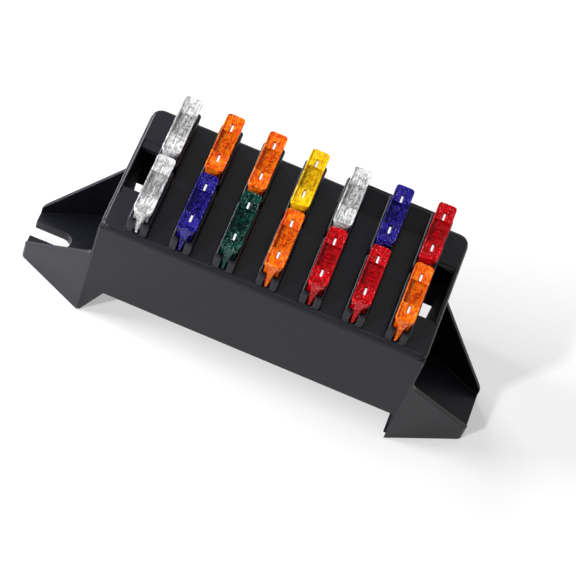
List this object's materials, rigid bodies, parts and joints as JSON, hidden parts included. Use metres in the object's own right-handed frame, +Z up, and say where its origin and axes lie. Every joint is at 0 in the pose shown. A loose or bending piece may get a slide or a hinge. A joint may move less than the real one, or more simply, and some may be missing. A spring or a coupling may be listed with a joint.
{
  "type": "blade fuse block",
  "caption": "moulded black holder with two rows of see-through coloured blade fuses and a mounting ear at each end",
  "frame": {"origin": "on the mounting surface, under the middle of the housing", "axes": "X along the fuse rows, Y from the front wall to the back wall, Z up from the mounting surface"},
  "size_m": [0.1308, 0.0424, 0.054],
  "materials": {
    "housing_black": "black moulded plastic with a fine satin grain",
    "fuse_clear": "clear see-through moulded plastic, glossy",
    "fuse_orange": "orange see-through moulded plastic, glossy",
    "fuse_yellow": "yellow see-through moulded plastic, glossy",
    "fuse_blue": "blue see-through moulded plastic, glossy",
    "fuse_green": "green see-through moulded plastic, glossy",
    "fuse_red": "red see-through moulded plastic, glossy",
    "fuse_metal": "bright plated stamping",
    "terminal_metal": "thin plated spring sheet"
  },
  "bodies": {
    "housing": {"housing": "housing_black", "terminal_front_1_outer": "terminal_metal", "terminal_front_1_inner": "terminal_metal", "terminal_front_2_outer": "terminal_metal", "terminal_front_2_inner": "terminal_metal", "terminal_front_3_outer": "terminal_metal", "terminal_front_3_inner": "terminal_metal", "terminal_front_4_outer": "terminal_metal", "terminal_front_4_inner": "terminal_metal", "terminal_front_5_outer": "terminal_metal", "terminal_front_5_inner": "terminal_metal", "terminal_front_6_outer": "terminal_metal", "terminal_front_6_inner": "terminal_metal", "terminal_front_7_outer": "terminal_metal", "terminal_front_7_inner": "terminal_metal", "terminal_back_1_outer": "terminal_metal", "terminal_back_1_inner": "terminal_metal", "terminal_back_2_outer": "terminal_metal", "terminal_back_2_inner": "terminal_metal", "terminal_back_3_outer": "terminal_metal", "terminal_back_3_inner": "terminal_metal", "terminal_back_4_outer": "terminal_metal", "terminal_back_4_inner": "terminal_metal", "terminal_back_5_outer": "terminal_metal", "terminal_back_5_inner": "terminal_metal", "terminal_back_6_outer": "terminal_metal", "terminal_back_6_inner": "terminal_metal", "terminal_back_7_outer": "terminal_metal", "terminal_back_7_inner": "terminal_metal"},
    "fuse_front_1": {"fuse_front_1": "fuse_clear", "element_front_1": "fuse_metal"},
    "fuse_front_2": {"fuse_front_2": "fuse_blue", "element_front_2": "fuse_metal"},
    "fuse_front_3": {"fuse_front_3": "fuse_green", "element_front_3": "fuse_metal"},
    "fuse_front_4": {"fuse_front_4": "fuse_orange", "element_front_4": "fuse_metal"},
    "fuse_front_5": {"fuse_front_5": "fuse_red", "element_front_5": "fuse_metal"},
    "fuse_front_6": {"fuse_front_6": "fuse_red", "element_front_6": "fuse_metal"},
    "fuse_front_7": {"fuse_front_7": "fuse_orange", "element_front_7": "fuse_metal"},
    "fuse_back_1": {"fuse_back_1": "fuse_clear", "element_back_1": "fuse_metal"},
    "fuse_back_2": {"fuse_back_2": "fuse_orange", "element_back_2": "fuse_metal"},
    "fuse_back_3": {"fuse_back_3": "fuse_orange", "element_back_3": "fuse_metal"},
    "fuse_back_4": {"fuse_back_4": "fuse_yellow", "element_back_4": "fuse_metal"},
    "fuse_back_5": {"fuse_back_5": "fuse_clear", "element_back_5": "fuse_metal"},
    "fuse_back_6": {"fuse_back_6": "fuse_blue", "element_back_6": "fuse_metal"},
    "fuse_back_7": {"fuse_back_7": "fuse_red", "element_back_7": "fuse_metal"}
  },
  "joints": [
    {"name": "fuse_front_1_pull", "type": "slide", "parent": "housing", "child": "fuse_front_1", "axis": [0, 0, 1], "range_m": [0, 0.02]},
    {"name": "fuse_front_2_pull", "type": "slide", "parent": "housing", "child": "fuse_front_2", "axis": [0, 0, 1], "range_m": [0, 0.02]},
    {"name": "fuse_front_3_pull", "type": "slide", "parent": "housing", "child": "fuse_front_3", "axis": [0, 0, 1], "range_m": [0, 0.02]},
    {"name": "fuse_front_4_pull", "type": "slide", "parent": "housing", "child": "fuse_front_4", "axis": [0, 0, 1], "range_m": [0, 0.02]},
    {"name": "fuse_front_5_pull", "type": "slide", "parent": "housing", "child": "fuse_front_5", "axis": [0, 0, 1], "range_m": [0, 0.02]},
    {"name": "fuse_front_6_pull", "type": "slide", "parent": "housing", "child": "fuse_front_6", "axis": [0, 0, 1], "range_m": [0, 0.02]},
    {"name": "fuse_front_7_pull", "type": "slide", "parent": "housing", "child": "fuse_front_7", "axis": [0, 0, 1], "range_m": [0, 0.02]},
    {"name": "fuse_back_1_pull", "type": "slide", "parent": "housing", "child": "fuse_back_1", "axis": [0, 0, 1], "range_m": [0, 0.02]},
    {"name": "fuse_back_2_pull", "type": "slide", "parent": "housing", "child": "fuse_back_2", "axis": [0, 0, 1], "range_m": [0, 0.02]},
    {"name": "fuse_back_3_pull", "type": "slide", "parent": "housing", "child": "fuse_back_3", "axis": [0, 0, 1], "range_m": [0, 0.02]},
    {"name": "fuse_back_4_pull", "type": "slide", "parent": "housing", "child": "fuse_back_4", "axis": [0, 0, 1], "range_m": [0, 0.02]},
    {"name": "fuse_back_5_pull", "type": "slide", "parent": "housing", "child": "fuse_back_5", "axis": [0, 0, 1], "range_m": [0, 0.02]},
    {"name": "fuse_back_6_pull", "type": "slide", "parent": "housing", "child": "fuse_back_6", "axis": [0, 0, 1], "range_m": [0, 0.02]},
    {"name": "fuse_back_7_pull", "type": "slide", "parent": "housing", "child": "fuse_back_7", "axis": [0, 0, 1], "range_m": [0, 0.02]}
  ]
}
